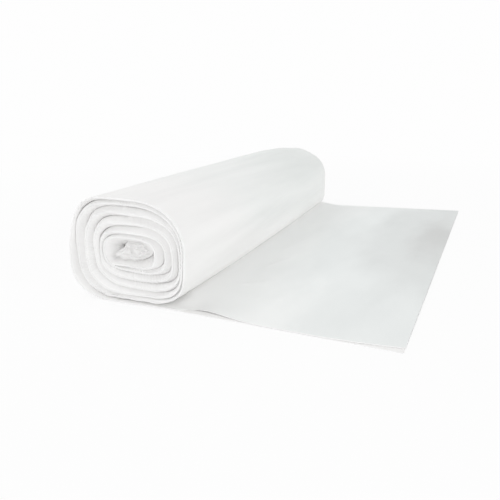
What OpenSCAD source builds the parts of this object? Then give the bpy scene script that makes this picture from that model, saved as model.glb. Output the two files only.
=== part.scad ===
// A coreless roll of thin film bin bags. One long web of folded bags is wound into a soft,
// slightly flattened roll. Its first bag lies unrolled on the surface that the roll rests on.
//
// The origin is on the resting face, under the middle of the roll. The roll's axis is +Y,
// with the near end at -Y, the unrolled bag leaves towards +X, and +Z is up.

/* [Roll] */
// Length of the roll between its two ends
roll_l = 250; // [150:5:400]
// Width of the roll at its near end
roll_w = 64; // [54:1:90]
// Height of the roll at its near end
roll_h = 50; // [42:1:70]
// Number of turns of web
turns = 6; // [4:1:7]
// How much narrower the far end is than the near end
far_narrowing = 7; // [0:0.5:12]
// How much lower the far end is than the near end
far_lowering = 1; // [0:0.5:4]
// How far the far end has drifted away from the unrolled bag
far_drift = 7; // [0:0.5:12]
// How far the innermost turn sits back from each end
dish = 2.5; // [0:0.5:8]

/* [Web] */
// Thickness of the wound web, with the air between its plies
web_t = 1.3; // [0.8:0.05:1.7]
// Air gap between the outermost two turns
turn_gap = 0.25; // [0.15:0.05:0.5]
// Clear height left in the middle of the roll
core_h = 8; // [6:0.5:14]
// How far the middle turns sit towards the unrolled bag
core_shift = 2.8; // [0:0.2:4]
// How far the middle turns sit above the roll's own middle
core_lift = 1; // [0:0.2:2]
// Height between the crumpled runs of the web's inner end
fold_rise = 2.4; // [2:0.1:3]

/* [Unrolled bag] */
// Distance from the roll's middle to the end of the unrolled bag
tail_reach = 128; // [90:1:200]
// How much further that end lies from the roll at the far end than at the near end
tail_slant = 2; // [0:0.5:6]
// How far the end of the unrolled bag runs past each end of the roll
tail_flare = 6.5; // [0:0.5:15]
// Thickness of each of its two leaves
leaf_t = 0.4; // [0.3:0.05:0.6]
// Air gap between the two leaves
leaf_gap = 0.1; // [0.05:0.05:0.4]
// Distance from the roll's middle to where the leaves part
leaf_start = 34; // [30:1:45]
// Height of the pucker in the upper leaf's near edge
pucker_h = 2; // [0:0.25:5]
// Length of that pucker
pucker_l = 30; // [15:1:50]
// How far the lower leaf shows past the upper one at the near corner
corner_step = 4; // [0:0.5:8]

/* [Hidden] */
film_white = [0.93, 0.93, 0.92];

// Squareness of the roll's upper and lower halves, where 2 is an ellipse
square_top = 2.6;
square_under = 3.1;
// Share of the half height by which the underside is pressed flat
press = 0.02;
// Points around one turn, and along one round fold
turn_points = 36;
fold_points = 5;
// How far across the hollow each crumpled run reaches, as a share of its half width
fold_reach = [-0.72, 0.78, -0.05, 0.66];
// Share of the roll's length at which the sections stand, from the near end
stations = [0, 0.05, 0.14, 0.5, 1];
// Share of the length over which the pucker dies away
pucker_fade = 0.14;
// Points along each leaf of the unrolled bag
leaf_points = 14;
// Share of the unrolled bag, at its free end, over which the lower leaf comes to show
corner_share = 0.4;

// The gap between turns grows inwards until the roll's middle has its clear height
pitch = web_t + turn_gap;
loosening = (roll_h / 2 - web_t - core_h / 2 - (turns - 0.25) * pitch)
    / (turns * turns - 0.125);
function depth(s) = s * pitch + s * s * loosening;

// Half sizes and middle of the outline that the web starts from, under the roll
base_w = (roll_w + depth(0.25) + depth(0.75)) / 2;
base_h = (roll_h + depth(0.5)) / 2;
base_x = (depth(0.75) - depth(0.25)) / 2;

function signed_pow(v, e) = sign(v) * pow(abs(v), e);
function mix(a, b, share) = a + (b - a) * share;

// Middle line of the web after s turns from the underside, at the near end
function turn_point(s) =
    let (
        angle = -90 - 360 * s,
        square = sin(angle) > 0 ? square_top : square_under,
        rise = signed_pow(sin(angle), 2 / square),
        inset = depth(s) + web_t / 2,
        settle = s / turns
    )
    [
        base_x + core_shift * settle + (base_w - inset) * signed_pow(cos(angle), 2 / square),
        base_h + core_lift * settle
            + (base_h - inset) * (rise > 0 ? rise : max(-1, (1 + press) * rise))
    ];

// The crumpled inner end runs to and fro in the hollow, one run above the last
hollow_x = base_x + core_shift;
hollow_w = base_w - depth(turns) - web_t;
run_z = turn_point(turns)[1];
fold_r = fold_rise / 2;

function fold_end(k) = hollow_x + fold_reach[k] * hollow_w;
function fold_point(k, share) =
    let (
        side = fold_reach[k] < 0 ? -1 : 1,
        angle = -90 + 180 * share
    )
    [fold_end(k) + side * fold_r * cos(angle), run_z + (k + 0.5) * fold_rise + fold_r * sin(angle)];

folds = len(fold_reach) - 1;
crumple = concat(
    [for (k = [0:folds - 1], i = [0:fold_points]) fold_point(k, i / fold_points)],
    [[fold_end(folds), run_z + folds * fold_rise]]
);

// The whole middle line, from the crumpled end out to where the leaves part
wound = [for (i = [turns * turn_points:-1:0]) turn_point(i / turn_points)];
inner_end = [for (i = [len(crumple) - 1:-1:0]) crumple[i]];
wound_count = len(inner_end) + len(wound);
tail_t = 2 * leaf_t + leaf_gap;
tail_start = roll_w / 3;
under_bag = [
    [tail_start / 2, web_t / 2],
    [tail_start, web_t / 2],
    [leaf_start, tail_t / 2]
];
middle = concat(inner_end, wound, under_bag);
last = len(middle) - 1;

function turn_of(i) =
    i < len(inner_end) ? turns
    : i < wound_count ? turns - (i - len(inner_end)) / turn_points
    : 0;
function thickness(i) = i == last ? tail_t : web_t;
function direction(i) =
    let (d = middle[min(i + 1, last)] - middle[max(i - 1, 0)])
    d / norm(d);
function face_point(i, side) =
    let (
        d = i >= wound_count ? [1, 0] : direction(i),
        half = thickness(i) / 2
    )
    middle[i] + side * half * [-d[1], d[0]];

// Section points are [x, z, turn, leaf], where leaf is 1 on the upper leaf and 0 elsewhere
function web_face(side, from, step) =
    [for (i = [from:step:last - from]) concat(face_point(i, side), [turn_of(i), 0])];
function leaf_x(k) = mix(leaf_start, tail_reach, k / leaf_points);
function leaf_face(z, leaf, from, step) =
    [for (k = [from:step:leaf_points + 1 - from]) [leaf_x(k), z, 0, leaf]];

// The section's outline, from the crumpled end along the web's outer face and back again
section = concat(
    web_face(-1, 0, 1),
    leaf_face(0, 0, 1, 1),
    leaf_face(leaf_t, 0, leaf_points, -1),
    [[leaf_x(0.5), leaf_t + leaf_gap / 2, 0, 0]],
    leaf_face(leaf_t + leaf_gap, 1, 1, 1),
    leaf_face(tail_t, 1, leaf_points, -1),
    web_face(1, last, -1)
);
count = len(section);

// Places of the runs of points in the section
low_under = last + 1;
low_over = low_under + leaf_points;
parting = low_over + leaf_points;
up_under = parting + 1;
up_over = up_under + leaf_points;
web_over = up_over + leaf_points;

// How far along the unrolled bag a point lies, from where it leaves the roll to its end
function tail_share(x) = max(0, (x - tail_start) / (tail_reach - tail_start));

// How far the upper leaf's near edge sits back from the lower one's
function corner_setback(x) =
    let (along = max(0, (tail_share(x) - 1 + corner_share) / corner_share))
    corner_step * along * along;

// How far the upper leaf stands up at x, in a pucker that is steepest next to the roll
function pucker(x, v) =
    let (
        along = (x - leaf_start) / pucker_l,
        fade = max(0, 1 - v / pucker_fade)
    )
    along <= 0 || along >= 1 ? 0 : pucker_h * pow(sin(180 * sqrt(along)), 2) * fade;

// Where a section point comes to lie at a share v of the roll's length
function rolled_x(x, v) = x * (1 - v * far_narrowing / roll_w) - v * far_drift;
function tail_x(x, v) =
    mix(
        rolled_x(base_x, v),
        tail_reach + (v - 0.5) * tail_slant,
        (x - base_x) / (tail_reach - base_x)
    );
function place(p, v) =
    let (
        x = p[0],
        is_tail = p[2] == 0 && x > base_x,
        set_in = dish * pow(p[2] / turns, 2),
        flare = is_tail ? tail_flare * tail_share(x) : 0,
        near = -roll_l / 2 + set_in - flare + p[3] * corner_setback(x),
        far = roll_l / 2 - set_in + flare
    )
    [
        is_tail ? tail_x(x, v) : rolled_x(x, v),
        mix(near, far, v),
        p[1] * (1 - v * far_lowering / roll_h) + p[3] * pucker(x, v)
    ];

function quad(a, b, c, d) = [[a, b, c], [a, c, d]];
function flat(lists) = [for (list = lists) each list];

// One end of the web as strips of triangles between its two faces
end_faces = concat(
    flat([for (i = [0:last - 1]) quad(i, i + 1, count - 2 - i, count - 1 - i)]),
    [[last, parting, web_over]],
    quad(last, low_under, parting - 1, parting),
    flat([for (k = [0:leaf_points - 2])
        quad(low_under + k, low_under + k + 1, parting - 2 - k, parting - 1 - k)]),
    quad(parting, up_under, web_over - 1, web_over),
    flat([for (k = [0:leaf_points - 2])
        quad(up_under + k, up_under + k + 1, web_over - 2 - k, web_over - 1 - k)])
);

function turned(faces) = [for (f = faces) [f[2], f[1], f[0]]];
function raised(faces, by) = [for (f = faces) [f[0] + by, f[1] + by, f[2] + by]];

module bag_roll() {
    bays = len(stations) - 1;
    points = [for (v = stations, p = section) place(p, v)];
    sides = flat([for (k = [0:bays - 1], i = [0:count - 1])
        let (here = k * count, next = here + count, j = (i + 1) % count)
        quad(here + i, here + j, next + j, next + i)]);
    color(film_white)
        polyhedron(points, concat(turned(end_faces), sides, raised(end_faces, bays * count)));
}

bag_roll();
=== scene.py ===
# %% [markdown]
# # A roll of white film bin bags
# A roll of bin bags is one long web of thin film. The bags are folded flat, joined end to end
# at perforated lines, and wound up without a core. This lesson takes such a web flat, as the
# factory does, and winds it up: each leaf of film starts as a flat grid, and its points are
# then carried to their places on a soft, slightly flattened spiral. The outermost bag has been
# unrolled, so its two leaves lie flat on the table.

# %% Load the measured model
import math
import bpy
import numpy as np
from mathutils import Matrix, Vector, noise


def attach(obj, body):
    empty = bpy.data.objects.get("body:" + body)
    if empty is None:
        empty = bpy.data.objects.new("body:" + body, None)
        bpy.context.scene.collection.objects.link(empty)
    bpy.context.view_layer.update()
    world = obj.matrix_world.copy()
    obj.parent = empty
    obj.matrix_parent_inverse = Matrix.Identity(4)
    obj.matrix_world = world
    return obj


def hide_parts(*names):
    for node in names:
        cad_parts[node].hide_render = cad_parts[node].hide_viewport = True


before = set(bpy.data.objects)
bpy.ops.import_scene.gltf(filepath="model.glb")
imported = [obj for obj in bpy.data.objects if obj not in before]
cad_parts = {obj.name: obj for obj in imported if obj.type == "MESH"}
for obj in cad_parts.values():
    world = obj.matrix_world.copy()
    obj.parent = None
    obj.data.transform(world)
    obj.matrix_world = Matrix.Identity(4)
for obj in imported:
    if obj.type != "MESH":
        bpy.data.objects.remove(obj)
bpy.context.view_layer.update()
print("solids:", sorted(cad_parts))

# %% [markdown]
# ## Sizes
# The measured solid gives the roll's size, how its far end differs from its near end, and how
# far the unrolled bag reaches. The same sizes stand here in metres, so the film winds up where
# the solid lies. ROOT_X is where the unrolled bag leaves the roll, under its middle. Each leaf
# of film is thicker than real film, because it stands for several loose plies.

# %% Sizes of the roll and of its unrolled bag
MM = 0.001
ROLL_L = 250 * MM
ROLL_W = 64 * MM
ROLL_H = 50 * MM
TURNS = 6
DISH = 2.5 * MM
FAR_NARROWING = 7 * MM
FAR_LOWERING = 1 * MM
FAR_DRIFT = 7 * MM
ROOT_X = 0.46267 * MM
TAIL_START = ROLL_W / 3
TAIL_REACH = 128 * MM
TAIL_SLANT = 2 * MM
TAIL_FLARE = 6.5 * MM
LEAF_START = 34 * MM
WEB_T = 1.3 * MM
PLY_T = 0.4 * MM
PLY_STEP = 0.44 * MM
LEAF_T = 0.2 * MM
print(f"roll: {ROLL_L:.3f} m long, {ROLL_W:.3f} m wide and {ROLL_H:.3f} m high")

# %% [markdown]
# ## The winding
# Seen from the end, the web's middle line is a spiral on a rounded square. A circle would be
# the simple choice, but a soft roll sags into this shape, flatter below than above. A roll
# wound without a core is also uneven, so four lists say how far each turn reaches below, to
# the left, above and to the right, in millimetres, from the outermost turn inwards. The
# outermost turn follows the solid's outline. The outer turns lie close together on the right
# and loosely on the left, and the inner turns the other way round.

# %% How far each turn reaches
BELOW = [0.65, 2.6, 5.0, 8.6, 12.4, 15.9, 17.8]
LEFT = [-31.3, -26.8, -21.3, -16.6, -14.2, -12.5]
ABOVE = [49.4, 46.7, 42.6, 38.0, 33.8, 30.9]
RIGHT = [31.7, 30.1, 28.6, 25.2, 20.8, 15.6]


def reach_of(s, start, reaches):
    """How far the web reaches on one side after s turns, where it first passes that side at start."""
    return np.interp(s, start + np.arange(len(reaches)), reaches) * MM


print("turns listed on each side:", [len(side) for side in (BELOW, LEFT, ABOVE, RIGHT)])

# %% [markdown]
# The power of a rounded square says how square its corners are: 2 gives an ellipse, and a
# higher number a squarer shape. Each quarter of the roll has its own. The underside is also
# pressed flat where the roll rests.

# %% The spiral that the web follows
SQUARE_UP_LEFT = 3.2
SQUARE_UP_RIGHT = 2.6
SQUARE_LOW_LEFT = 3.1
SQUARE_LOW_RIGHT = 3.5
PRESS = 0.02


def spiral(s):
    """Middle line of the web after s turns from the underside."""
    angle = np.radians(-90 - 360 * s)
    across, up = np.cos(angle), np.sin(angle)
    above = np.where(across < 0, SQUARE_UP_LEFT, SQUARE_UP_RIGHT)
    below = np.where(across < 0, SQUARE_LOW_LEFT, SQUARE_LOW_RIGHT)
    power = 2 / np.where(up > 0, above, below)
    rise = np.sign(up) * np.abs(up) ** power
    rise = np.where(rise > 0, rise, np.maximum(-1, (1 + PRESS) * rise))
    low, high = reach_of(s, 0, BELOW), reach_of(s, 0.5, ABOVE)
    left, right = reach_of(s, 0.25, LEFT), reach_of(s, 0.75, RIGHT)
    x = (left + right) / 2 + (right - left) / 2 * np.sign(across) * np.abs(across) ** power
    z = (low + high) / 2 + (high - low) / 2 * rise
    return np.stack([x, z], axis=-1)


print("top of the outermost turn:", spiral(np.array([0.5])).round(4)[0])

# %% [markdown]
# One finely spaced list of points holds the whole way of the web, from the end of the unrolled
# bag to the last run across the hollow. Each point knows its turn, its distance along the
# film, and the direction that faces outwards. Any point of film can then look up its place.

# %% The whole way of the web
LAST_RUN = 11 * MM
TURN_POINTS = 720
TAIL_POINTS = 400
RUN_POINTS = 60
tail_x = np.linspace(TAIL_REACH, ROOT_X, TAIL_POINTS, endpoint=False)
turn = np.arange(TURNS * TURN_POINTS + 1) / TURN_POINTS
run = np.linspace(0, LAST_RUN, RUN_POINTS)[1:]
tail_part = np.stack([tail_x, np.full(len(tail_x), WEB_T / 2)], axis=1)
inner_run = spiral(np.array([float(TURNS)])) - np.stack([run, np.zeros(len(run))], axis=1)
way = np.concatenate([tail_part, spiral(turn), inner_run])
way_turn = np.concatenate([np.zeros(len(tail_x)), turn, np.full(len(run), float(TURNS))])
heading = np.gradient(way, axis=0)
heading /= np.linalg.norm(heading, axis=1)[:, None]
outward = np.stack([-heading[:, 1], heading[:, 0]], axis=1)
outward[: len(tail_x)] = (0, -1)
distance = np.concatenate([[0], np.cumsum(np.linalg.norm(np.diff(way, axis=0), axis=1))])
TAIL_LENGTH = distance[len(tail_x)]
FILM_END = distance[-1]
print(f"web: {FILM_END:.3f} m of film, with {TAIL_LENGTH:.3f} m unrolled")


# %% Look up a place along the web
def follow(along):
    """Section point, outward direction and turn of the web at distances along the film."""
    columns = (way[:, 0], way[:, 1], outward[:, 0], outward[:, 1], way_turn)
    return [np.interp(along, distance, column) for column in columns]


def at_turn(s):
    """Distance along the film at which the web has made s turns."""
    return float(np.interp(s, way_turn[len(tail_x):], distance[len(tail_x):]))


print(f"the first turn takes {at_turn(1) - TAIL_LENGTH:.3f} m of film")

# %% [markdown]
# ## Soft shape
# Film is never quite even. Two helpers bring that in: one gives smooth noise at any points,
# and the other is a smooth step from 0 to 1.

# %% Smooth noise and a smooth step
NOISE_GAIN = 1.6
SEED_STEP = Vector((17.3, 5.1, 29.7))


def wander(a, b=0.0, c=0.0, seed=0):
    """Smooth noise between about -1 and 1 at points (a, b, c), which are in waves."""
    a, b, c = np.broadcast_arrays(a, b, c)
    shift = SEED_STEP * (seed + 1)
    values = [noise.noise(Vector(spot) + shift) for spot in zip(a.ravel(), b.ravel(), c.ravel())]
    return NOISE_GAIN * np.array(values).reshape(a.shape)


def ease(value, start, end):
    """0 before start and 1 after end, with a smooth step between."""
    share = np.clip((value - start) / (end - start), 0, 1)
    return share * share * (3 - 2 * share)


print("noise sample:", round(float(wander(0.4, 0.3)), 3))

# %% [markdown]
# A crease is a narrow ridge between broad, shallow dips. Noise folded at zero gives such
# ridges, and stretching it along the roll turns them into the lengthwise creases that winding
# leaves in film. A slower noise makes them drift, so they don't run quite straight.

# %% Lengthwise creases
CREASE_DRIFT = 0.6
DRIFT_WAVES = 5
CREASE_SHARPNESS = 3


def creases(along, across, wave, length, seed):
    """Height of the creases, from 0 to 1, at a distance along the web and a place across it."""
    drift = CREASE_DRIFT * wander(along / (DRIFT_WAVES * wave), across / length, seed=seed + 1)
    ridge = 1 - np.abs(wander(along / wave + drift, across / length, seed=seed))
    return np.clip(ridge, 0, 1) ** CREASE_SHARPNESS


print("crease sample:", round(float(creases(0.1, 0.1, 9 * MM, 130 * MM, 11)), 3))

# %% [markdown]
# ## The roll's uneven sides
# A soft roll isn't the same all along. Towards its far end its lower right side has slumped
# onto the unrolled bag, its upper right side is flatter, and its top swells and then falls. A
# separate section for each place would be a lot of work, so each of these is one push on the
# section. It is strongest at an angle seen from the roll's middle, dies away within a width to
# both sides and towards the middle, and its amount changes along the roll.

# %% Push the sides of a section
MIDDLE_X = 0.2 * MM
MIDDLE_Z = 25 * MM
UNEVEN = {
    "lower right": (-43, 30, (3.6, -2.4), [0, 0.1, 0.27, 0.53, 1], [0, 0.3, 0.62, 0.85, 1]),
    "upper right": (42, 42, (-2.3, -1.6), [0.5, 1], [0, 1]),
    "top": (100, 60, (0, 1), [0, 0.15, 0.33, 0.5, 0.68, 0.85, 1], [0, 0, 0.6, 1.1, 1.4, 0.8, -1.2]),
}


def settle(x, z, share):
    """Where section points of the wound film lie at a share of the roll's length."""
    across, up = x - MIDDLE_X, z - MIDDLE_Z
    angle = np.degrees(np.arctan2(up, across))
    size = np.clip((2 * across / ROLL_W) ** 2 + (2 * up / ROLL_H) ** 2, 0, 1)
    for middle, width, (move_x, move_z), shares, amounts in UNEVEN.values():
        here = ease(width - np.abs(angle - middle), 0, width)
        amount = size * here * np.interp(share, shares, amounts) * MM
        x, z = x + move_x * amount, z + move_z * amount
    return x, z


print("uneven sides:", list(UNEVEN))

# %% [markdown]
# ## Where a point of film goes
# The two ends of the roll differ: the far end is a little narrower, and it has drifted to one
# side. The unrolled bag spreads towards its open end, and it lies flat, so the uneven sides
# leave it alone. These helpers take points of a section and carry them to their places.


# %% Carry film to its place
def tail_share(x):
    """How far along the unrolled bag a point lies, from the roll to the bag's open end."""
    return np.clip((x - TAIL_START) / (TAIL_REACH - TAIL_START), 0, 1)


def narrowing(share):
    """The roll's width at a share of its length, as a share of its width at the near end."""
    return 1 - share * FAR_NARROWING / ROLL_W


def laid_x(x, share):
    """Where the unrolled film lies, between the roll's drifting middle and the bag's slanting end."""
    root = ROOT_X * narrowing(share) - share * FAR_DRIFT
    end = TAIL_REACH + (share - 0.5) * TAIL_SLANT
    return root + (end - root) * (x - ROOT_X) / (TAIL_REACH - ROOT_X)


def carry(x, z, tail, share, near_in, far_in):
    """Places of section points (x, z) at a share of the roll's length, set in from its two ends."""
    settled_x, settled_z = settle(x, z, share)
    x, z = np.where(tail, x, settled_x), np.where(tail, z, settled_z)
    rolled = x * narrowing(share) - share * FAR_DRIFT
    laid = laid_x(x, share)
    flare = np.where(tail, TAIL_FLARE * tail_share(x), 0)
    near = -ROLL_L / 2 + near_in - flare
    far = ROLL_L / 2 - far_in + flare
    y = near + (far - near) * share
    height = z * (1 - share * FAR_LOWERING / ROLL_H)
    return np.where(tail, laid, rolled), y, height


print(f"the far end is {narrowing(1):.2f} times as wide as the near end")

# %% [markdown]
# The whole roll also sways a little. This bend moves every point of space by a smooth amount,
# so leaves that lie apart stay apart. It fades out at the table, where the film lies flat.

# %% The roll's gentle sway
SWAY = 0.45 * MM
SWAY_WAVE = 24 * MM
SWAY_LENGTH = 150 * MM
SWAY_FOOT = 1 * MM
SWAY_FULL = 10 * MM


def sway(x, y, z):
    """Places moved by the sway, which is full above a height and nothing at the table."""
    hold = SWAY * ease(z, SWAY_FOOT, SWAY_FULL)
    spot = (x / SWAY_WAVE, y / SWAY_LENGTH, z / SWAY_WAVE)
    return x + hold * wander(*spot, seed=3), y, z + hold * wander(*spot, seed=4)


print(f"sway: up to about {SWAY / MM:.2f} mm")

# %% [markdown]
# ## The ragged ends
# Film never winds up with its edges in line. Each turn stands a little further out or in than
# its neighbours, each ply wanders on its own, and in places the edge is finely puckered. The
# middle ply lies deeper than the other two, so that they can close over it. Moving only the
# rows at the edge would squeeze the film there, so a leaf that is set in closes up evenly over
# its whole width.

# %% How far the film's edge is set in
TURN_WANDER = 0.9 * MM
TURN_WAVE = 24 * MM
PLY_WANDER = 0.14 * MM
PLY_WAVE = 5 * MM
FINE_WANDER = 0.1 * MM
FINE_WAVE = 1.4 * MM
PUCKER_WAVE = 1.6 * MM
PUCKER_IN = 0.16 * MM
GATHER_WAVE = 21 * MM
GATHER_LEVELS = (0.05, 0.35)
RAGGED_TURNS = (0.02, 0.25)
OUTSIDE = 1
MIDDLE = 0
INSIDE = -1
RECESS = {OUTSIDE: 0, MIDDLE: 2.4 * MM, INSIDE: 0.05 * MM}
OTHER_END = 7.3
OTHER_GATHER = 3.1


def gathered(along, end):
    """1 in the stretches of film that are finely puckered at one end of the roll, and 0 elsewhere."""
    return ease(wander(along / GATHER_WAVE, OTHER_GATHER * end, seed=51), *GATHER_LEVELS)


def edge_in(along, turns_in, ply, seed, end):
    """How far a ply's edge lies inside the roll's end, where end is 0 near and 1 far."""
    wound = ease(turns_in, *RAGGED_TURNS)
    slow = TURN_WANDER * wander(along / TURN_WAVE, OTHER_END * end, seed=40)
    own = PLY_WANDER * wander(along / PLY_WAVE, OTHER_END * end, seed=seed)
    fine = FINE_WANDER * wander(along / FINE_WAVE, OTHER_END * end, seed=seed + 1)
    pucker = PUCKER_IN * gathered(along, end) * np.sin(2 * math.pi * along / PUCKER_WAVE)
    return DISH * (turns_in / TURNS) ** 2 + RECESS[ply] + wound * (slow + own + fine + pucker)


print(f"the middle ply lies {RECESS[MIDDLE] / MM:.1f} mm deeper than the outer one")

# %% [markdown]
# Where the edge is gathered, fine pleats also run in from it. They start just behind the edge
# and die away a few millimetres in. Seen from the end they bend the thin lines between the
# turns, which a bump in the finish couldn't do, so they are part of the shape.

# %% Fine pleats behind the edge
PLEAT_H = 0.07 * MM
PLEAT_TURNS = (0.9, 1.1)
PLEAT_RISE = (0.2 * MM, 1 * MM)
PLEAT_FALL = (2 * MM, 5 * MM)


def pleats(along, turns_in, share):
    """Height of the fine pleats in the film's mouth, which run in from the edge."""
    depth_in = np.minimum(share, 1 - share) * ROLL_L
    here = np.where(share < 0.5, gathered(along, 0), gathered(along, 1))
    here = here * ease(turns_in, *PLEAT_TURNS)
    fade = ease(depth_in, *PLEAT_RISE) * (1 - ease(depth_in, *PLEAT_FALL))
    return PLEAT_H * here * fade * np.sin(2 * math.pi * along / PUCKER_WAVE)


print(f"pleats: {PLEAT_H / MM:.2f} mm high, {PUCKER_WAVE / MM:.1f} mm apart")

# %% [markdown]
# ## The mouths between the turns
# On the left the outermost turn leans inwards towards its top at the near end, and outwards
# towards its foot. The gap between it and the next turn changes with that lean.

# %% The lean of the outermost turn, and the gap between two turns
SIDE_LEAN = 0.18
SIDE_FOOT = 21 * MM
SIDE_FADE = 0.2
SPACE_MOST = 4.5 * MM


def side_in(turns_in, z, share):
    """How far the outermost turn's left side lies inwards at a height z, near the near end."""
    left_side = np.where(turns_in < 0.5, np.sin(2 * math.pi * turns_in) ** 2, 0)
    return SIDE_LEAN * left_side * (1 - ease(share, 0, SIDE_FADE)) * (z - SIDE_FOOT)


def between_turns(outer_turn, share):
    """Direction from the web at outer_turn to the next turn inside it, and the clear space there."""
    outer = spiral(outer_turn)
    gap = spiral(outer_turn + 1) - outer
    length = np.linalg.norm(gap, axis=1)
    inwards = gap / length[:, None]
    space = length - WEB_T - side_in(outer_turn, outer[:, 1], share) * inwards[:, 0]
    return inwards, np.clip(space, 0, SPACE_MOST)


top_space = between_turns(np.array([0.5]), 0.5)[1][0]
print(f"clear space inside the outermost turn at the top: {top_space / MM:.2f} mm")

# %% [markdown]
# The many plies inside the web lie loosely and fill the gaps between the turns, except at the
# ends, where they open like the mouth of a bag. Solid turns would leave deep black slits
# there. So each ply stands straight for a narrow lip at the edge and then leans across the
# gap, and soon meets the plies of the next turn. Below and to the left the inner plies fill
# most of a gap, and elsewhere the outer plies do.

# %% How far a mouth has closed
MOUTH_DEPTH = 4 * MM
MOUTH_LEAST = 0.5 * MM
MOUTH_SHARE = 0.57
LIP = 0.3 * MM
FILL = 0.99
OUTER_EVEN = 0.5
OUTER_SWING = 0.45
OUTER_MOST = 0.62


def closed(from_end, space):
    """How far a mouth has closed at a depth, from 0 at the lip to 1 where the plies meet."""
    return np.clip((from_end - LIP) / np.clip(MOUTH_SHARE * space, MOUTH_LEAST, MOUTH_DEPTH), 0, 1)


def outer_share_of(turns_in):
    """The share of the gap outside a turn that its own outer plies fill."""
    return OUTER_EVEN + OUTER_SWING * np.cos(2 * math.pi * (turns_in - OUTER_MOST))


print(f"outer plies fill {outer_share_of(0.5):.2f} of a gap above, {outer_share_of(0):.2f} of it below")

# %% [markdown]
# The innermost turn has no neighbour, so its inner plies lean into the hollow instead, by an
# amount that changes around the turn. In the roll the lip of the inner ply lies against the
# outer one, so that the two show as one edge, and behind it they part. In the unrolled bag the
# two leaves lie on each other without that.

# %% How the plies lean near the roll's ends
HOLLOW_DEPTH = 6.5 * MM
HOLLOW_TURN = [4.92, 5.05, 5.25, 5.4, 5.55, 5.7, 5.9, 6]
HOLLOW_ROOM = [0, 1.5, 5.5, 4.6, 2.6, 1.4, 4.4, 2.5]
CLOSE_UP = 1.06
CLOSE_UP_DEPTH = (LIP, 6 * LIP)
OUTER_TURNS = (1, 1.04)
SHARED_TURNS = (1.02, 1.15)
INNER_TURNS = (0.02, 0.15)
LAST_TURNS = (TURNS - 1.02, TURNS - 0.98)


def lean(ply, along, share, turns_in):
    """Offset of a ply along the web's outward direction, and its lean as a move in x and z."""
    from_end = np.minimum(share, 1 - share) * ROLL_L
    outer_share = outer_share_of(turns_in)
    offset = np.full_like(along, ply * PLY_STEP)
    move = np.zeros((len(along), 2))
    if ply == OUTSIDE:
        inwards, space = between_turns(np.maximum(turns_in - 1, 0), share)
        has_outer = ease(turns_in, *OUTER_TURNS)
        left_open = 1 - ease(turns_in, *SHARED_TURNS) * (1 - outer_share)
        reach = has_outer * left_open * FILL * closed(from_end, space) * space
        move = -inwards * reach[:, None]
    if ply == INSIDE:
        inwards, space = between_turns(np.minimum(turns_in, TURNS - 1), share)
        has_inner = ease(turns_in, *INNER_TURNS) * (1 - ease(turns_in, *LAST_TURNS))
        reach = has_inner * (1 - outer_share) * FILL * closed(from_end, space) * space
        move = inwards * reach[:, None]
        in_roll = 1 - ease(TAIL_REACH - along, TAIL_START, LEAF_START)
        closing = CLOSE_UP * PLY_STEP * in_roll * (1 - ease(from_end, *CLOSE_UP_DEPTH))
        hollow = np.interp(turns_in, HOLLOW_TURN, HOLLOW_ROOM) * MM
        offset = offset + closing - hollow * np.clip((from_end - LIP) / HOLLOW_DEPTH, 0, 1)
    return offset, move


print(f"mouths: {MOUTH_LEAST / MM:.1f} to {MOUTH_DEPTH / MM:.1f} mm deep behind a {LIP / MM:.1f} mm lip")

# %% [markdown]
# ## A leaf of film
# A spiral curve, extruded along the roll, could stand for the web, but its edges would be
# straight and it would have no creases. So each leaf begins as Blender's flat grid, as long as
# its stretch of film and as wide as the roll. Its rows lie close together at its two edges,
# where the shape is fine, and far apart between them. Every point of that grid says how far
# along and across the film it lies, and this is all that the winding needs.

# %% Lay out a flat grid of film
END_ROWS = [0, 0.3, 0.8, 1.4, 2.2, 3.1, 4, 5, 6.5, 10]


def rows_across(middle_rows):
    """Shares of the width at which a leaf's rows lie, close together at its two edges."""
    near = np.array(END_ROWS) * MM / ROLL_L
    middle = np.linspace(near[-1], 1 - near[-1], middle_rows + 1)[1:-1]
    return np.concatenate([near, middle, 1 - near[::-1]])


def flat_film(name, start, end, step, middle_rows):
    """A flat grid of film, with each point's distance along the web and share of its width."""
    lines = rows_across(middle_rows)
    rows = len(lines) - 1
    columns = round((end - start) / step)
    bpy.ops.object.select_all(action="DESELECT")
    bpy.ops.mesh.primitive_grid_add(x_subdivisions=columns, y_subdivisions=rows, size=1)
    film = bpy.context.object
    film.name = name
    film.data.name = name
    film.scale = (end - start, ROLL_L, 1)
    bpy.ops.object.transform_apply(scale=True)
    flat = np.empty(len(film.data.vertices) * 3)
    film.data.vertices.foreach_get("co", flat)
    along = flat[0::3] + (start + end) / 2
    share = lines[np.rint((flat[1::3] / ROLL_L + 0.5) * rows).astype(int)]
    return film, along, share


print("rows of points across an inner leaf:", len(rows_across(3)))

# %% [markdown]
# Solidify gives the film its thickness and closes its edges. A vertex group makes the film of
# the unrolled bag thinner than the plies of the wound web, which stand for several each. A
# stored number marks the rim of the film, where the finish later paints a highlight.

# %% Give the film its thickness
RIM_WIDE = 0.8 * MM
FLAT_ANGLE = math.radians(50)


def mark_rim_highlight(film, share):
    """Store 1 on the film's edge and 0 a little way in, as a number of each point, which places the
    painted highlight on the rim.
    """
    from_end = np.minimum(share, 1 - share) * ROLL_L
    rim = film.data.attributes.new("rim", "FLOAT", "POINT")
    rim.data.foreach_set("value", 1 - ease(from_end, LIP, RIM_WIDE))


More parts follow.
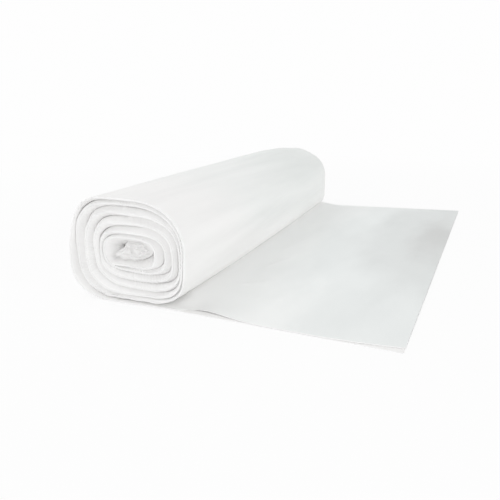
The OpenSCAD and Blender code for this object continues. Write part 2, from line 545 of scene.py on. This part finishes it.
def thicken(film, thinning):
    """Close the film into a solid sheet, thinner where thinning is 1."""
    thin = film.vertex_groups.new(name="thickness")
    for i, amount in enumerate(thinning):
        thin.add([i], 1 - amount, "REPLACE")
    solid = film.modifiers.new("thickness", "SOLIDIFY")
    solid.thickness = PLY_T
    solid.offset = 0
    solid.vertex_group = "thickness"
    solid.thickness_vertex_group = LEAF_T / PLY_T
    bpy.ops.object.modifier_apply(modifier=solid.name)
    bpy.ops.object.shade_smooth_by_angle(angle=FLAT_ANGLE)


print(f"film: {LEAF_T / MM:.1f} mm thick where it is unrolled, {PLY_T / MM:.1f} mm in the roll")

# %% [markdown]
# Now a leaf can be wound. It is pushed out or in from the web's middle line by its ply's place,
# its lean, its pleats and any lift of its own, carried to its place, and swayed. Under the
# roll its near edge stands out a little, where the roll's weight has pressed it forwards.

# %% Wind up a leaf
UNDER_OUT = 1.0 * MM
UNDER_WIDE = 20 * MM
print(f"the near edge stands {UNDER_OUT / MM:.0f} mm out under the roll")


def leaf(name, start, end, step, middle_rows, ply, seed, lift=None, set_back=None):
    """A leaf of film from start to end along the web, which lies ply plies outside its middle."""
    film, along, share = flat_film(name, start, end, step, middle_rows)
    x, z, out_x, out_z, turns_in = follow(along)
    tail = along < TAIL_LENGTH
    push, move = lean(ply, along, share, turns_in)
    move[:, 0] += side_in(turns_in, z, share)
    push = push + pleats(along, turns_in, share)
    if lift:
        push = push + lift(x, along, share, turns_in, tail)
    near_in = edge_in(along, turns_in, ply, seed, 0)
    far_in = edge_in(along, turns_in, ply, seed, 1)
    if set_back:
        near_in = near_in + set_back(x, tail)
    near_in = near_in - UNDER_OUT * np.exp(-(((along - TAIL_LENGTH) / UNDER_WIDE) ** 2))
    x, z = x + out_x * push + move[:, 0], z + out_z * push + move[:, 1]
    places = carry(x, z, tail, share, near_in, far_in)
    film.data.vertices.foreach_set("co", np.stack(sway(*places), axis=1).ravel())
    film.data.update()
    mark_rim_highlight(film, share)
    thicken(film, np.where(tail, ease(x, TAIL_START, LEAF_START), 0))
    print(f"{name}: {len(film.data.polygons)} faces")
    return film


# %% [markdown]
# ## The outermost bag
# Its lower leaf is the roll's outer skin. It comes out from under the roll and lies on the
# table. On the roll it has long creases and finer ones, which run a little askew. Where it
# has settled on the table it lies flat.

# %% How the lower leaf lies
LOWER_Z = 0.11 * MM
SKIN_CREASE = 0.35 * MM
LONG_SHARE = 0.7
FINE_SHARE = 0.3
LONG_CREASE = (9 * MM, 130 * MM)
FINE_CREASE = (4 * MM, 60 * MM)
FINE_SKEW = 0.12
FREE_TURNS = (0.05, 0.3)


def skin_lift(x, along, share, turns_in, tail):
    """Creases of the roll's skin, and how far the lower leaf has sunk onto the table."""
    across = share * ROLL_L
    free = ease(turns_in, *FREE_TURNS)
    long_creases = creases(along, across, *LONG_CREASE, seed=11)
    fine_creases = creases(along + FINE_SKEW * across, across, *FINE_CREASE, seed=14)
    height = LONG_SHARE * long_creases + FINE_SHARE * fine_creases - 0.5
    settled = ease(x, TAIL_START, LEAF_START) * (WEB_T / 2 - PLY_STEP - LOWER_Z)
    return np.where(tail, settled, free * SKIN_CREASE * height)


print(f"the lower leaf lies {LOWER_Z / MM:.2f} mm above the table")

# %% [markdown]
# A few sharp folds run out from the roll where the bag was pulled off it. Each fold is a low,
# narrow ridge between two places on the upper leaf, given as its start, its end, its height and
# its width in millimetres. A place is measured from the roll's middle and from the near edge.

# %% Folds in the upper leaf
FOLDS = [
    ((36, 30), (60, 58), 0.7, 1.6),
    ((40, 62), (52, 96), 0.7, 1.6),
    ((46, 20), (76, 34), 0.4, 2.5),
    ((38, 92), (47, 135), 0.5, 2.0),
    ((58, 120), (84, 152), 0.3, 3.0),
    ((90, 40), (118, 60), 0.25, 3.5),
]
FOLD_POWER = 1.3
FOLD_RISES = 0.3
FOLD_FALLS = 0.6


def fold(x, across, start, end, height, width):
    """Height of a ridge from start to end, which fades at both ends."""
    ax, ay, bx, by = (v * MM for v in (*start, *end))
    length = math.hypot(bx - ax, by - ay)
    way_x, way_y = (bx - ax) / length, (by - ay) / length
    run = (x - ax) * way_x + (across - ay) * way_y
    off = (x - ax) * way_y - (across - ay) * way_x
    fade = ease(run, 0, FOLD_RISES * length) * (1 - ease(run, FOLD_FALLS * length, length))
    return height * MM * fade * np.exp(-np.abs(off) / (0.5 * width * MM)) ** FOLD_POWER


print("folds in the upper leaf:", len(FOLDS))

# %% [markdown]
# Beside the roll the upper leaf doesn't lie flat. It clings to the roll above it, so it rises
# towards the roll, and the crease between them is soft. It rises only as far as the wound film
# leaves room, less where the roll has slumped, and not at all at its near edge.

# %% How the upper leaf hugs the roll
CREASE_RISE = 4 * MM
FAR_RISE = 1.8 * MM
CREASE_GAP = 0.65 * MM
HUG_FROM = 27 * MM
HUG_TO = 48 * MM
HUG_EDGE = 22 * MM
ROOM_MOST = 20 * MM
CORNER_TURN = 0.78
CORNER_POINTS = 60
corner = spiral(np.linspace(1, CORNER_TURN, CORNER_POINTS))


def room_beside(beside, share):
    """How high the wound film stands above the table at places beside the roll."""
    room = np.empty_like(beside)
    for row in np.unique(share):
        here = share == row
        under_x, under_z = settle(corner[:, 0], corner[:, 1], row)
        room[here] = np.interp(beside[here], under_x, under_z, right=ROOM_MOST)
    return np.maximum(room - CREASE_GAP, 0)


def hug(x, share):
    """How far the upper leaf rises towards the roll."""
    beside = (laid_x(x, share) + share * FAR_DRIFT) / narrowing(share)
    slumped = np.interp(share, *UNEVEN["lower right"][3:])
    highest = CREASE_RISE + (FAR_RISE - CREASE_RISE) * slumped
    rise = highest * (1 - ease(beside, HUG_FROM, HUG_TO)) * ease(share * ROLL_L, 0, HUG_EDGE)
    return np.minimum(rise, room_beside(beside, share))


print(f"the upper leaf rises {CREASE_RISE / MM:.1f} mm near, and {FAR_RISE / MM:.1f} mm far")

# %% [markdown]
# The upper leaf also puckers at its near edge, where it leaves the roll. It swells and ripples
# softly between its edges, and it stops a little short of the lower leaf at the near corner and
# along the pucker.

# %% How the upper leaf lies
UPPER_Z = 0.35 * MM
PUCKER_H = 0.3 * MM
PUCKER_L = 30 * MM
PUCKER_FADE = 0.09
PUCKER_BACK = 4 * MM
BACK_BEFORE = 6 * MM
BACK_LONGER = 14 * MM
CORNER_STEP = 4 * MM
CORNER_SHARE = 0.4
SWELL_H = 0.5 * MM
SWELL_WAVE = 40 * MM
SWELL_LENGTH = 60 * MM
RIPPLE_H = 0.2 * MM
RIPPLE = (14 * MM, 90 * MM)
RIPPLE_SKEW = 0.4
FREE_BEYOND = 25 * MM
FREE_DEPTH = (-4 * MM, 25 * MM)


def upper_lift(x, along, share, turns_in, tail):
    """How far the upper leaf is pushed towards the table, less what lifts it off."""
    across = share * ROLL_L
    from_edge = np.minimum(share, 1 - share) * ROLL_L
    past = np.clip((x - LEAF_START) / PUCKER_L, 0, 1)
    pucker = PUCKER_H * np.sin(math.pi * np.sqrt(past)) ** 2 * np.exp(-((share / PUCKER_FADE) ** 2))
    free = ease(x, TAIL_START, TAIL_START + FREE_BEYOND) * ease(from_edge, *FREE_DEPTH)
    swell = 0.5 + 0.5 * wander(x / SWELL_WAVE, across / SWELL_LENGTH, seed=25)
    ripple = creases(along + RIPPLE_SKEW * across, across, *RIPPLE, seed=21)
    folds = sum(fold(x, across, *one) for one in FOLDS)
    open_film = pucker + hug(x, share) + free * (SWELL_H * swell + RIPPLE_H * ripple + folds)
    settled = ease(x, TAIL_START, LEAF_START) * (WEB_T / 2 + PLY_STEP - UPPER_Z)
    return np.where(tail, settled - open_film, 0)


def upper_set_back(x, tail):
    """How far the upper leaf's near edge lies behind the lower one's."""
    along = np.clip((tail_share(x) - 1 + CORNER_SHARE) / CORNER_SHARE, 0, 1)
    past = np.clip((x - LEAF_START + BACK_BEFORE) / (PUCKER_L + BACK_LONGER), 0, 1)
    back = CORNER_STEP * along**2 + PUCKER_BACK * np.sin(math.pi * np.sqrt(past)) ** 2
    return np.where(tail, back, 0)


print(f"pucker: {PUCKER_H / MM:.1f} mm high and set back {PUCKER_BACK / MM:.0f} mm")

# %% [markdown]
# Both leaves go once around the roll and a little further, to where the inner bags take over.
# The upper leaf has more rows than the lower one, because its folds and its ripple are seen.

# %% Wind the outermost bag
SKIN_END = at_turn(1.05)
SKIN_STEP = 1.0 * MM
LOWER_ROWS = 80
UPPER_ROWS = 120
lower_leaf = leaf("lower_leaf", 0, SKIN_END, SKIN_STEP, LOWER_ROWS, OUTSIDE, 50, skin_lift)
upper_leaf = leaf(
    "upper_leaf", 0, SKIN_END, SKIN_STEP, UPPER_ROWS, INSIDE, 50, upper_lift, upper_set_back
)

# %% [markdown]
# ## The bags inside
# Only the ends of the inner turns can be seen, so their leaves need few rows along the roll.
# Three leaves stand for the many plies of folded bag. The middle one starts under the roll,
# inside the outermost bag, and the other two take over from that bag's leaves.

# %% Wind the inner bags
INNER_STEP = 0.5 * MM
INNER_ROWS = 3
OUTER_START = SKIN_END - 2 * MM
MIDDLE_START = TAIL_LENGTH - 14 * MM
MIDDLE_END = FILM_END - 1 * MM
INNER_START = SKIN_END - 1 * MM
INNER_END = FILM_END - 0.5 * MM
outer_ply = leaf("outer_ply", OUTER_START, FILM_END, INNER_STEP, INNER_ROWS, OUTSIDE, 70)
middle_ply = leaf("middle_ply", MIDDLE_START, MIDDLE_END, INNER_STEP, INNER_ROWS, MIDDLE, 80)
inner_ply = leaf("inner_ply", INNER_START, INNER_END, INNER_STEP, INNER_ROWS, INSIDE, 70)

# %% [markdown]
# ## The crumpled start
# The web's first stretch was crumpled by hand and wound in, and it fills the hollow as a loose
# bundle. Crumpled film could be simulated as cloth, but its folds would then fall anywhere, so
# they are given one by one. Each one is a sharp ridge from one place to another, with its height
# and its width, in millimetres across the roll's end.

# %% The outline and the folds of the bundle
BUNDLE_MIDDLE = (1.5, 23.6)
BUNDLE_CORNERS = [
    (13.4, 26.0), (11.4, 22.2), (6.0, 19.9), (1.0, 18.9), (-3.4, 19.2), (-7.4, 20.6), (-9.4, 22.0),
    (-7.2, 23.6), (-4.2, 25.0), (-2.4, 27.0), (-0.6, 28.9), (4.4, 29.6), (9.8, 29.4), (13.2, 28.4),
]
BUNDLE_FOLDS = [
    ((-8.2, 21.8), (-2.6, 20.4), 3.0, 0.55),
    ((-2.6, 20.4), (3.6, 20.8), 2.9, 0.55),
    ((3.6, 20.8), (9.8, 23.8), 3.0, 0.55),
    ((-6.6, 22.6), (-1.4, 24.8), 2.8, 0.5),
    ((-1.4, 24.8), (-0.6, 27.4), 3.2, 0.5),
    ((-0.8, 27.4), (7.0, 27.9), 3.4, 0.5),
    ((7.0, 27.7), (3.6, 25.8), 3.4, 0.45),
    ((3.6, 25.8), (7.8, 24.6), 3.2, 0.45),
    ((7.8, 24.6), (5.2, 23.0), 2.8, 0.45),
    ((0.6, 25.6), (1.4, 22.6), 2.6, 0.5),
    ((-4.0, 22.2), (2.2, 22.0), 1.8, 0.5),
    ((8.4, 26.8), (10.6, 25.0), 2.4, 0.45),
]
print(f"bundle: {len(BUNDLE_CORNERS)} corners and {len(BUNDLE_FOLDS)} folds")


# %% Helpers for the bundle
def near_line(x, z, start, end, width):
    """1 on the line from start to end, falling off within about its width."""
    (ax, az), (bx, bz) = start, end
    length = math.hypot(bx - ax, bz - az)
    run = np.clip(((x - ax) * (bx - ax) + (z - az) * (bz - az)) / length**2, 0, 1)
    off = np.hypot(x - ax - run * (bx - ax), z - az - run * (bz - az))
    return np.exp(-off / width)


CORNER_CUT = 0.25
CORNER_CUTS = 3


def round_outline(corners):
    """A closed line of corners, cut again and again until it is round."""
    line = np.array(corners)
    for _ in range(CORNER_CUTS):
        after = np.roll(line, -1, axis=0)
        first = (1 - CORNER_CUT) * line + CORNER_CUT * after
        second = CORNER_CUT * line + (1 - CORNER_CUT) * after
        line = np.stack([first, second], axis=1).reshape(-1, 2)
    return line


outline = round_outline(BUNDLE_CORNERS) - BUNDLE_MIDDLE
outline_angle = np.arctan2(outline[:, 1], outline[:, 0])
outline_reach = np.hypot(outline[:, 0], outline[:, 1])
print("points on the bundle's outline:", len(outline))

# %% [markdown]
# The bundle is made from a ball: the rings around one pole spread over its near end, the rings
# around the other pole over its far end, and the rings between them join the two. A ball is
# closed to begin with, and so the bundle is too.

# %% Start the bundle from a ball
SPOKES = 180
RINGS = 84
CAP_RINGS = 36
bpy.ops.object.select_all(action="DESELECT")
bpy.ops.mesh.primitive_uv_sphere_add(segments=SPOKES, ring_count=RINGS, radius=1)
bundle = bpy.context.object
bundle.name = "crumpled_start"
bundle.data.name = "crumpled_start"
ball = np.empty(len(bundle.data.vertices) * 3)
bundle.data.vertices.foreach_get("co", ball)
ball = ball.reshape(-1, 3)
ring = np.arccos(np.clip(ball[:, 2], -1, 1)) / math.pi * RINGS
spoke = np.arctan2(ball[:, 1], ball[:, 0])
reach = np.interp(spoke, *zip(*sorted(zip(outline_angle, outline_reach))), period=2 * math.pi)
cap = np.clip(np.minimum(ring, RINGS - ring) / CAP_RINGS, 0, 1)
spread = np.sin(0.5 * math.pi * cap)
print("points of the ball:", len(ball))

# %% Spread the ball into the bundle
BUNDLE_IN = 6.2
RIDGE_MOST = 3.4
RIDGE_GRAIN = 0.3
GRAIN_WAVE = 1.7
BUNDLE_ROUND = 2.0
ROUND_FROM = 0.8
x = BUNDLE_MIDDLE[0] + reach * spread * np.cos(spoke)
z = BUNDLE_MIDDLE[1] + reach * spread * np.sin(spoke)
height = sum(h * near_line(x, z, a, b, w) for a, b, h, w in BUNDLE_FOLDS)
height = RIDGE_MOST * np.tanh(height / RIDGE_MOST)
height = height + RIDGE_GRAIN * wander(x / GRAIN_WAVE, z / GRAIN_WAVE, seed=31)
rounding = BUNDLE_ROUND * ease(cap, ROUND_FROM, 1)
set_in = (BUNDLE_IN - height + rounding) * MM
share = np.clip((ring - CAP_RINGS) / (RINGS - 2 * CAP_RINGS), 0, 1)
x, y, z = carry(x * MM, z * MM, False, share, set_in, set_in)
bundle.data.vertices.foreach_set("co", np.stack([x, y, z], axis=1).ravel())
bundle.data.update()
bpy.ops.object.mode_set(mode="EDIT")
bpy.ops.mesh.select_all(action="SELECT")
bpy.ops.mesh.normals_make_consistent(inside=False)
bpy.ops.object.mode_set(mode="OBJECT")
bpy.ops.object.shade_smooth_by_angle(angle=FLAT_ANGLE)
print(f"crumpled_start: {len(bundle.data.polygons)} faces")

# %% [markdown]
# ## Film
# White polythene film scatters light and lets a little of it through. Its tint changes slowly
# from a warm white to a darker, cooler one, and most of that change is painted shade and light;
# soft streaks run along the roll, and tiny wrinkles that are too small to model roughen it. An
# image of film could be laid over it, but nodes give the same from any side and at any size. One
# noise, stretched along the roll, makes the tint uneven and the streaks too, so both run the same way.


# %% Nodes for a film's noise
def add_node(material, kind, **settings):
    """A new node of the material, with values set on its named inputs."""
    node = material.node_tree.nodes.new(kind)
    for name, value in settings.items():
        node.inputs[name].default_value = value
    return node


CLOUD_DETAIL = 4
STREAK_TURN = math.radians(8)


def stretched_noise(material, where, grain):
    """Points of the film stretched by grain, and a cloudy noise of them."""
    stretch = add_node(material, "ShaderNodeMapping", Rotation=(0, 0, STREAK_TURN), Scale=grain)
    cloud = add_node(material, "ShaderNodeTexNoise", Scale=1, Detail=CLOUD_DETAIL)
    material.node_tree.links.new(where.outputs["Object"], stretch.inputs["Vector"])
    material.node_tree.links.new(stretch.outputs["Vector"], cloud.inputs["Vector"])
    return stretch.outputs["Vector"], cloud.outputs["Fac"]


print(f"the noise is turned by {math.degrees(STREAK_TURN):.0f} degrees")

# %% Nodes for a film's tint
CLOUDING = 0.24


def tint_away_from(material, where, cloud, tints, middle, reach):
    """A tint that changes along tints with the distance from middle, made uneven by the noise."""
    links = material.node_tree.links
    away = add_node(material, "ShaderNodeMapping", Location=[-m / r for m, r in zip(middle, reach)])
    away.inputs["Scale"].default_value = [1 / r for r in reach]
    length = add_node(material, "ShaderNodeVectorMath")
    length.operation = "LENGTH"
    vary = add_node(material, "ShaderNodeMath")
    vary.operation = "MULTIPLY_ADD"
    vary.inputs[1].default_value = CLOUDING
    vary.inputs[2].default_value = -CLOUDING / 2
    total = add_node(material, "ShaderNodeMath")
    total.operation = "ADD"
    shades = add_node(material, "ShaderNodeValToRGB")
    shades.color_ramp.interpolation = "EASE"
    ramp = shades.color_ramp.elements
    while len(ramp) < len(tints):
        ramp.new(0.5)
    for stop, (position, tint) in zip(ramp, sorted(tints.items())):
        stop.position = position
        stop.color = (*tint, 1)
    links.new(where.outputs["Object"], away.inputs["Vector"])
    links.new(away.outputs["Vector"], length.inputs[0])
    links.new(cloud, vary.inputs[0])
    links.new(length.outputs["Value"], total.inputs[0])
    links.new(vary.outputs[0], total.inputs[1])
    links.new(total.outputs[0], shades.inputs["Fac"])
    return shades.outputs["Color"]


print(f"the noise shifts a tint by up to {CLOUDING / 2:.2f} of its reach")

# %% [markdown]
# The cut edge of film catches the light, so every edge at the roll's ends is a thin bright line.
# That highlight is painted: the number stored on the rim turns the colour there a brighter white.

# %% Nodes for a film's streaks and its rim
NOISE_LOW = 0.3
NOISE_HIGH = 0.7
# Painted highlight: the white that the film's cut edges are turned to.
RIM_HIGHLIGHT_WHITE = (0.985, 0.983, 0.98)


def streaked(material, tint, cloud, streaks):
    """The tint, darkened along the streaks of the noise."""
    links = material.node_tree.links
    streak = add_node(material, "ShaderNodeMapRange")
    streak.inputs["From Min"].default_value = NOISE_LOW
    streak.inputs["From Max"].default_value = NOISE_HIGH
    streak.inputs["To Min"].default_value = 1 - streaks
    streak.inputs["To Max"].default_value = 1
    darker = add_node(material, "ShaderNodeVectorMath")
    darker.operation = "SCALE"
    links.new(cloud, streak.inputs["Value"])
    links.new(tint, darker.inputs[0])
    links.new(streak.outputs["Result"], darker.inputs["Scale"])
    return darker.outputs["Vector"]


def with_painted_rim_highlight(material, tint):
    """The tint, turned to a brighter white at the film's edge: a painted highlight."""
    links = material.node_tree.links
    rim = add_node(material, "ShaderNodeAttribute")
    rim.attribute_name = "rim"
    mixed = add_node(material, "ShaderNodeMix")
    mixed.data_type = "RGBA"
    inside, edge = [socket for socket in mixed.inputs if socket.type == "RGBA"]
    edge.default_value = (*RIM_HIGHLIGHT_WHITE, 1)
    links.new(rim.outputs["Fac"], mixed.inputs[0])
    links.new(tint, inside)
    return next(socket for socket in mixed.outputs if socket.type == "RGBA")


print("rim tint:", RIM_HIGHLIGHT_WHITE)

# %% [markdown]
# A translucent shader is mixed into the surface for the light that comes through. The share is
# small, because each leaf stands for several plies: with more of it, light would be lost inside
# the roll and the gaps would turn grey.

# %% A shader for white film
ROUGHNESS = 0.45
POLYTHENE_IOR = 1.45
WRINKLE_H = 0.4 * MM
WRINKLE_SCALE = 7
WRINKLE_DETAIL = 3
SHINE_THROUGH = 0.04


def film_material(name, tints, middle, reach, grain, streaks, wrinkle):
    """Film whose tint changes along tints with distance from middle, with streaks of that grain."""
    material = bpy.data.materials.new(name)
    material.use_nodes = True
    nodes, links = material.node_tree.nodes, material.node_tree.links
    surface = nodes["Principled BSDF"]
    surface.inputs["Roughness"].default_value = ROUGHNESS
    surface.inputs["IOR"].default_value = POLYTHENE_IOR
    where = add_node(material, "ShaderNodeTexCoord")
    stretched, cloud = stretched_noise(material, where, grain)
    tint = tint_away_from(material, where, cloud, tints, middle, reach)
    color = with_painted_rim_highlight(material, streaked(material, tint, cloud, streaks))
    links.new(color, surface.inputs["Base Color"])

    fine = add_node(material, "ShaderNodeTexNoise", Scale=WRINKLE_SCALE, Detail=WRINKLE_DETAIL)
    bump = add_node(material, "ShaderNodeBump", Strength=wrinkle, Distance=WRINKLE_H)
    links.new(stretched, fine.inputs["Vector"])
    links.new(fine.outputs["Fac"], bump.inputs["Height"])
    links.new(bump.outputs["Normal"], surface.inputs["Normal"])

    glow = add_node(material, "ShaderNodeBsdfTranslucent")
    blend = add_node(material, "ShaderNodeMixShader", Fac=SHINE_THROUGH)
    links.new(color, glow.inputs["Color"])
    links.new(surface.outputs["BSDF"], blend.inputs[1])
    links.new(glow.outputs["BSDF"], blend.inputs[2])
    links.new(blend.outputs["Shader"], nodes["Material Output"].inputs["Surface"])
    print("material:", name)
    return material


# %% [markdown]
# Three films come from that one shader. The roll's skin is darker and cooler around a spot high
# on its far half, which is painted shade, and warm white towards its near end. The unrolled bag
# is darkest around a spot at its open end: partly because only two thin leaves lie there, and
# partly painted shade. It is painted brighter and warmer towards the roll, which is painted
# light over the shade in the crease beside the roll. Where many plies lie together, inside the
# roll, film is the same warm white all over.

# %% The three films
WARM_WHITE = (0.958, 0.953, 0.945)
PLIES_WHITE = (0.956, 0.951, 0.946)
PLAIN_WHITE = (0.91, 0.924, 0.912)
# Painted shade: the darker, cooler white of the roll's skin around a spot high on its far half.
SHADED_SKIN_WHITE = (0.84, 0.868, 0.852)
# Painted light: the brighter white of the unrolled bag towards the roll, over the crease's shade.
PAINTED_LIGHT_WHITE = (0.95, 0.965, 0.955)
PALE_WHITE = (0.866, 0.893, 0.886)
GREY_WHITE = (0.78, 0.804, 0.797)
# Partly thin film, partly painted shade: the darkest white of the unrolled bag, at its open end.
THIN_SHADED_WHITE = (0.67, 0.68, 0.672)
# Middle and reach of the painted shade on the roll's skin.
SKIN_SHADE_SPOT = (0.005, 0.075, 0.044)
SKIN_SHADE_REACH = (0.1, 0.18, 0.045)
# Middle and reach of the unrolled bag's darkest spot, partly thin film and partly painted shade.
THIN_SHADED_SPOT = (0.125, 0.04, 0)
THIN_SHADED_REACH = (0.14, 0.35, 1.4)
WOUND_GRAIN = (90, 7, 90)
LAID_GRAIN = (34, 14, 30)
wound_tints = {0.05: SHADED_SKIN_WHITE, 0.65: PLAIN_WHITE, 1: WARM_WHITE}
laid_tints = {
    0.02: THIN_SHADED_WHITE,
    0.22: GREY_WHITE,
    0.42: PALE_WHITE,
    0.66: PAINTED_LIGHT_WHITE,
    0.95: WARM_WHITE,
}
plies_tints = {0: PLIES_WHITE, 1: PLIES_WHITE}
skin_shade = (SKIN_SHADE_SPOT, SKIN_SHADE_REACH, WOUND_GRAIN)
thin_shaded = (THIN_SHADED_SPOT, THIN_SHADED_REACH, LAID_GRAIN)
wound_film = film_material("wound_film", wound_tints, *skin_shade, streaks=0.06, wrinkle=0.2)
single_film = film_material("single_film", laid_tints, *thin_shaded, streaks=0.045, wrinkle=0.15)
inner_film = film_material("inner_film", plies_tints, *skin_shade, streaks=0.02, wrinkle=0.2)

# %% Dress the leaves
finishes = {
    lower_leaf: wound_film,
    upper_leaf: single_film,
    outer_ply: inner_film,
    middle_ply: inner_film,
    inner_ply: inner_film,
    bundle: inner_film,
}
for piece, material in finishes.items():
    piece.data.materials.clear()
    piece.data.materials.append(material)
print("pieces dressed:", len(finishes))

# %% [markdown]
# ## Ride and replace
# Every piece of film belongs to the one solid, which has no moving parts, so each piece is tied
# to it, and the solid's own mesh is hidden. The five leaves are sheets.

# %% Tie the film to the solid
for piece in finishes:
    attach(piece, "root")
    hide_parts("bag_roll")

# %% [markdown]
# ## Camera
# The camera stands low at the roll's near end, to the right, and looks along it. Its place and
# its angles were fitted so that the corners of the roll and of the unrolled bag fall where they
# do in the picture that the roll was measured from.

# %% The camera
EYE = Vector((150.57, -317.3, 92.31)) * MM
TURN_LEFT = 0.425
LOOK_DOWN = 0.279
TILT = -0.026
LENS = 38.96
SENSOR = 36
flat_ahead = Vector((-math.sin(TURN_LEFT), math.cos(TURN_LEFT), 0))
ahead = math.cos(LOOK_DOWN) * flat_ahead - math.sin(LOOK_DOWN) * Vector((0, 0, 1))
level = Vector((math.cos(TURN_LEFT), math.sin(TURN_LEFT), 0))
upright = level.cross(ahead)
right = math.cos(TILT) * level + math.sin(TILT) * upright
up = math.cos(TILT) * upright - math.sin(TILT) * level
bpy.ops.object.camera_add(location=EYE)
camera = bpy.context.object
camera.rotation_euler = Matrix((right, up, -ahead)).transposed().to_euler()
camera.data.sensor_width = SENSOR
camera.data.lens = LENS
camera.data.clip_start = 10 * MM
bpy.context.scene.camera = camera
print("camera at", tuple(round(v, 3) for v in camera.location))

# %% [markdown]
# ## Studio
# White film on a white table is hard to light: more light only burns it out. So the sky and
# the lamps light the roll gently, and the camera sees the sky and the table nearly full white
# in another way. A node tells the rays that come from the camera, a mirror or a clear thing
# from the rays that light things.

# %% Which rays see the studio directly
PAPER_WHITE = (0.99, 0.99, 0.99, 1)


def seen_directly(nodes, links):
    """Output that is 1 for camera, mirror and see-through rays, and 0 for the rays that light things."""
    path = nodes.new("ShaderNodeLightPath")
    first = nodes.new("ShaderNodeMath")
    second = nodes.new("ShaderNodeMath")
    first.operation = second.operation = "MAXIMUM"
    links.new(path.outputs["Is Camera Ray"], first.inputs[0])
    links.new(path.outputs["Is Glossy Ray"], first.inputs[1])
    links.new(first.outputs[0], second.inputs[0])
    links.new(path.outputs["Is Transmission Ray"], second.inputs[1])
    return second.outputs[0]


print("paper white:", PAPER_WHITE[:3])

# %% [markdown]
# The table is plain matt white. Near the roll the camera sees a little of that, so the roll
# keeps its soft shadow, and further out it sees only the paper's white.

# %% The table
TABLE_WIDE = 8
TABLE_WHITE = (0.95, 0.95, 0.95, 1)
SHADOW_SHARE = 0.12
SHADOW_NEAR = 0.1
SHADOW_FAR = 0.5
bpy.ops.mesh.primitive_plane_add(size=TABLE_WIDE, location=(0, 0, 0))
table = bpy.context.object
table.name = "table"
table_white = bpy.data.materials.new("table_white")
table_white.use_nodes = True
nodes, links = table_white.node_tree.nodes, table_white.node_tree.links
nodes.remove(nodes["Principled BSDF"])
matt = nodes.new("ShaderNodeBsdfDiffuse")
matt.inputs["Color"].default_value = TABLE_WHITE
paper = nodes.new("ShaderNodeEmission")
paper.inputs["Color"].default_value = PAPER_WHITE
where = nodes.new("ShaderNodeTexCoord")
off_middle = nodes.new("ShaderNodeVectorMath")
off_middle.operation = "LENGTH"
fade = nodes.new("ShaderNodeMapRange")
fade.inputs["From Min"].default_value = SHADOW_NEAR
fade.inputs["From Max"].default_value = SHADOW_FAR
fade.inputs["To Min"].default_value = 1 - SHADOW_SHARE
fade.inputs["To Max"].default_value = 1
share_white = nodes.new("ShaderNodeMath")
share_white.operation = "MULTIPLY"
mixed = nodes.new("ShaderNodeMixShader")
links.new(where.outputs["Object"], off_middle.inputs[0])
links.new(off_middle.outputs["Value"], fade.inputs["Value"])
links.new(fade.outputs["Result"], share_white.inputs[0])
links.new(seen_directly(nodes, links), share_white.inputs[1])
links.new(share_white.outputs[0], mixed.inputs["Fac"])
links.new(matt.outputs[0], mixed.inputs[1])
links.new(paper.outputs[0], mixed.inputs[2])
links.new(mixed.outputs[0], nodes["Material Output"].inputs["Surface"])
table.data.materials.append(table_white)
print("table laid")

# %% The sky
SKY_LEVEL = 0.68
world = bpy.data.worlds.new("white_sky")
bpy.context.scene.world = world
world.use_nodes = True
nodes, links = world.node_tree.nodes, world.node_tree.links
sky = nodes["Background"]
sky.inputs["Color"].default_value = (1, 1, 1, 1)
sky.inputs["Strength"].default_value = SKY_LEVEL
backdrop = nodes.new("ShaderNodeBackground")
backdrop.inputs["Color"].default_value = PAPER_WHITE
mixed = nodes.new("ShaderNodeMixShader")
links.new(seen_directly(nodes, links), mixed.inputs["Fac"])
links.new(sky.outputs[0], mixed.inputs[1])
links.new(backdrop.outputs[0], mixed.inputs[2])
links.new(mixed.outputs[0], nodes["World Output"].inputs["Surface"])
print("sky level:", SKY_LEVEL)

# %% [markdown]
# Three soft lamps give the roll its form. A broad one high on the left lights its top, a low
# one in front reaches into the mouths between the turns, and a low one on the right lights the
# side above the unrolled bag.

# %% The lamps
LAMPS = {
    "upper_left_lamp": ((-0.65, -0.15, 1.0), 0.9, 3.8),
    "front_lamp": ((-0.2, -1.2, 0.3), 0.5, 2.0),
    "right_lamp": ((0.95, -0.15, 0.22), 0.5, 2.3),
}
LAMP_AIM = Vector((0.02, 0, 0.02))
for name, (place, size, power) in LAMPS.items():
    bpy.ops.object.light_add(type="AREA", location=place)
    lamp = bpy.context.object
    lamp.name = name
    lamp.data.shape = "DISK"
    lamp.data.size = size
    lamp.data.energy = power
    lamp.rotation_euler = (LAMP_AIM - lamp.location).to_track_quat("-Z", "Y").to_euler()
bpy.context.scene.view_settings.view_transform = "Standard"
print("lamps:", list(LAMPS))
